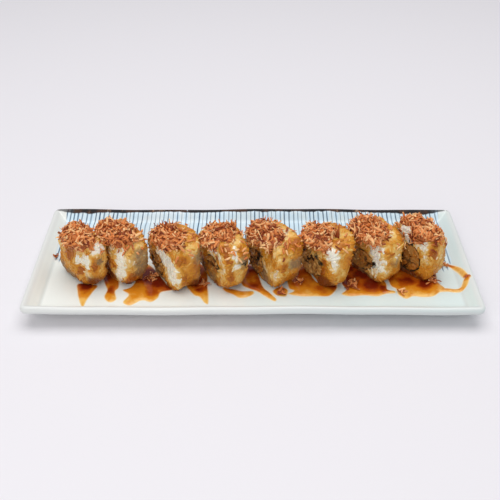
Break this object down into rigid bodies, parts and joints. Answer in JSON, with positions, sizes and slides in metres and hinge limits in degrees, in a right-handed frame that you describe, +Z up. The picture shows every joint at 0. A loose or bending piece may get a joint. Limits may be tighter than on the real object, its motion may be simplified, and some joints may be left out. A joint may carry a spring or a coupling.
{
  "type": "plate of shrimp tempura roll",
  "caption": "Sliced inside-out sushi roll with a fried filling and crisp flakes on top, in a row on a long shallow glazed plate with amber sauce.",
  "frame": {"origin": "on the table under the middle of the plate", "axes": "+X along the plate to the viewer's right, +Y to its striped back edge, +Z up"},
  "size_m": [0.34, 0.137, 0.0653],
  "materials": {
    "glaze": "pale grey-green gloss glaze with thin blue brushed stripes at the back and a dark brown rim line",
    "rice": "sticky rice grains, cream at the cuts and golden where glaze and sauce have soaked in",
    "seaweed": "wet layered seaweed, nearly black green",
    "tempura": "fried batter and shrimp at a rough cut, brown to olive",
    "flakes": "crisp curled fried flakes, orange brown with red brown hollows",
    "sauce": "wet translucent glaze sauce, amber where thin and red brown where deep"
  },
  "bodies": {
    "root": {"plate": "glaze", "rice_1": "rice", "nori_1": "seaweed", "tempura_1": "tempura", "flakes_1": "flakes", "rice_2": "rice", "nori_2": "seaweed", "tempura_2": "tempura", "flakes_2": "flakes", "rice_3": "rice", "nori_3": "seaweed", "tempura_3": "tempura", "flakes_3": "flakes", "rice_4": "rice", "nori_4": "seaweed", "tempura_4": "tempura", "flakes_4": "flakes", "rice_5": "rice", "nori_5": "seaweed", "tempura_5": "tempura", "flakes_5": "flakes", "rice_6": "rice", "nori_6": "seaweed", "tempura_6": "tempura", "flakes_6": "flakes", "rice_7": "rice", "nori_7": "seaweed", "tempura_7": "tempura", "flakes_7": "flakes", "rice_8": "rice", "nori_8": "seaweed", "tempura_8": "tempura", "flakes_8": "flakes", "sauce_1": "sauce", "sauce_2": "sauce", "sauce_3": "sauce", "sauce_4": "sauce", "sauce_5": "sauce", "sauce_6": "sauce", "sauce_7": "sauce", "sauce_8": "sauce", "sauce_9": "sauce", "sauce_10": "sauce", "fallen_1": "flakes", "fallen_2": "flakes", "fallen_3": "flakes", "fallen_4": "flakes", "fallen_5": "flakes", "fallen_6": "flakes", "fallen_7": "flakes", "fallen_8": "flakes", "fallen_9": "flakes"}
  },
  "joints": []
}
